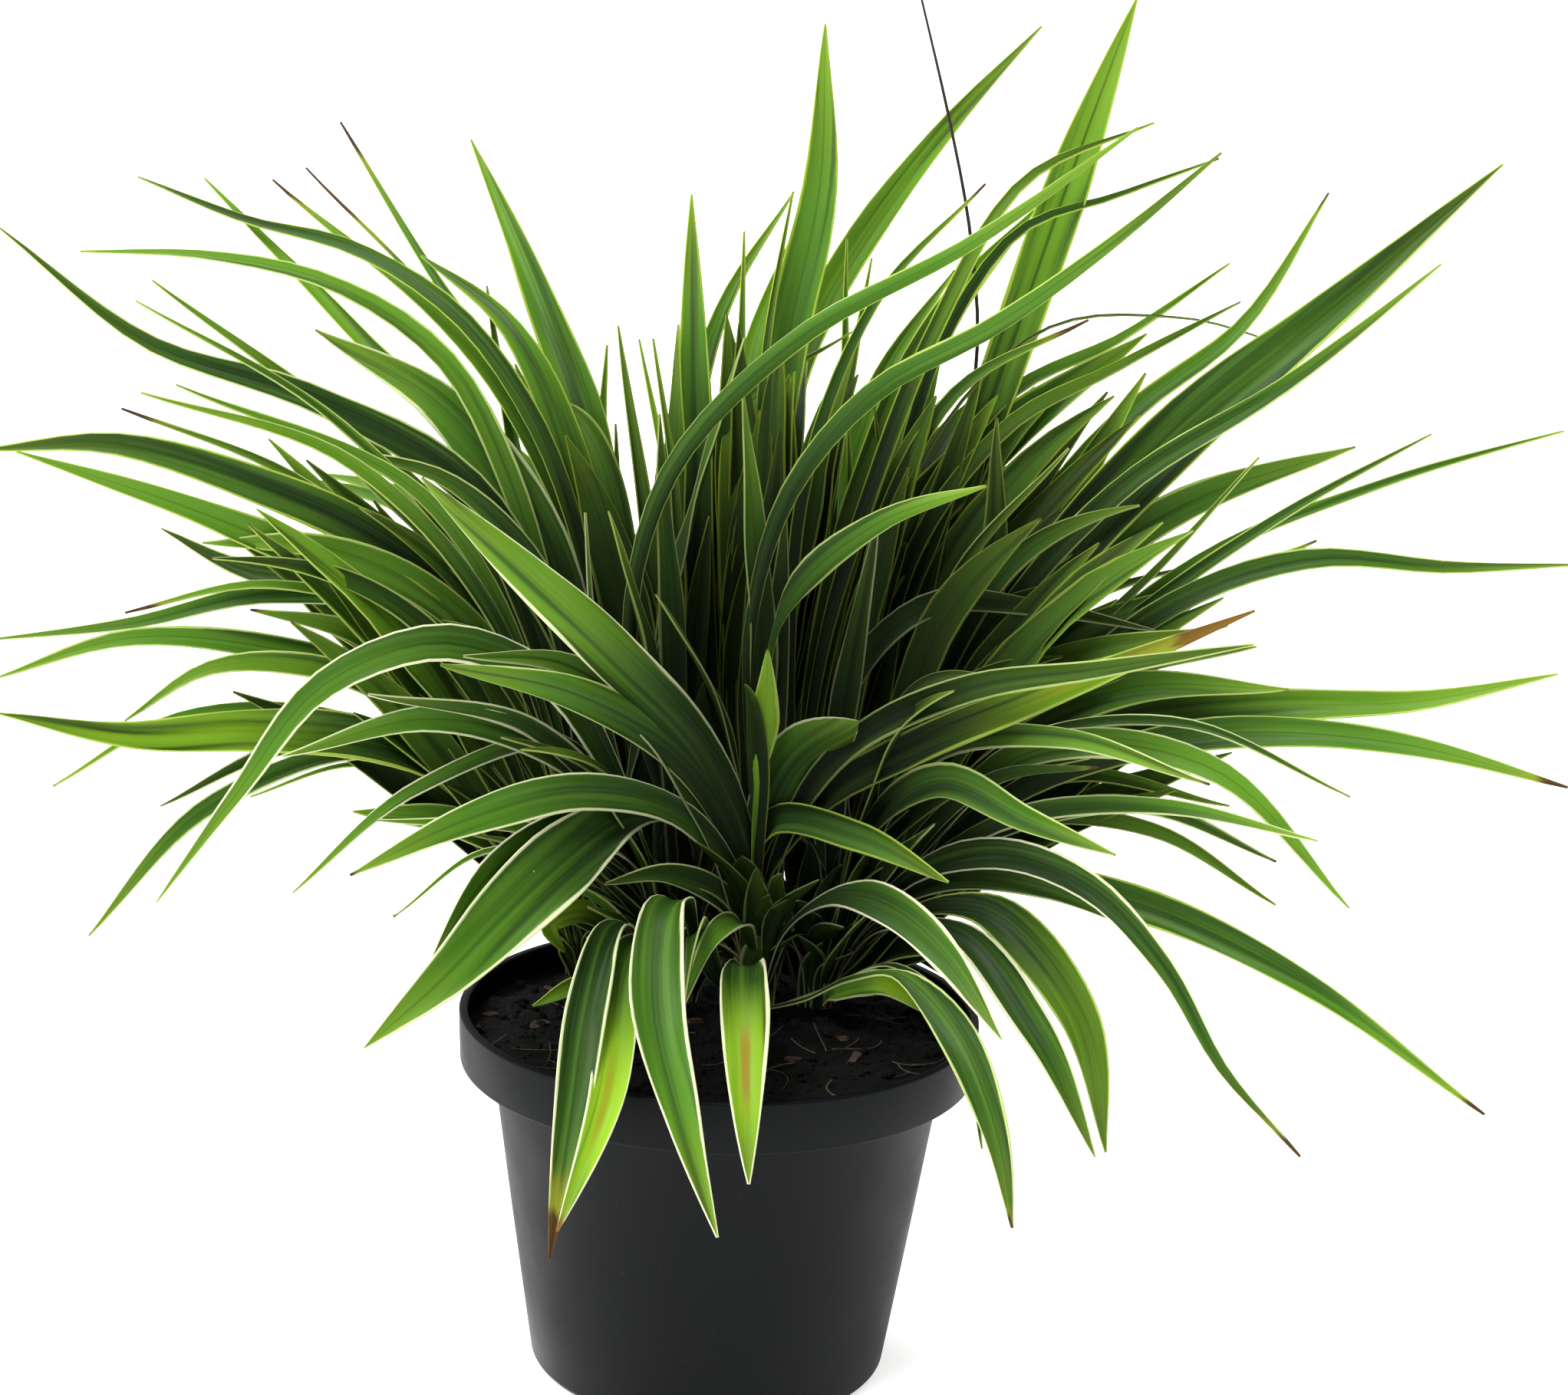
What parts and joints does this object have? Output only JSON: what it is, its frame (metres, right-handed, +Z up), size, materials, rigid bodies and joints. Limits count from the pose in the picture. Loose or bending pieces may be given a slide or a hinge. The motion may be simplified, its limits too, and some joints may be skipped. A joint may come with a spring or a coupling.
{
  "type": "potted spider plant",
  "caption": "Clump of arching, pale-edged ribbon leaves growing from soil in a plain round nursery pot that tapers to a flat base.",
  "frame": {"origin": "centre of the pot's flat underside", "axes": "+Z up along the pot's axis; -Y towards the side where the soil is bare, which the picture shows; +X to the viewer's right"},
  "size_m": [0.4679, 0.3176, 0.3973],
  "materials": {
    "pot_plastic": "satin charcoal, injection moulded",
    "potting_mix": "damp peat crumbs with fine roots and bark",
    "leaf": "living leaf, green with cream or yellow-green margins"
  },
  "bodies": {
    "root": {"pot": "pot_plastic", "soil": "potting_mix", "crown_left": "leaf", "crown_front_left": "leaf", "crown_front": "leaf", "crown_front_right": "leaf", "crown_right": "leaf", "crown_back_right": "leaf", "crown_back": "leaf", "crown_back_left": "leaf"}
  },
  "joints": []
}
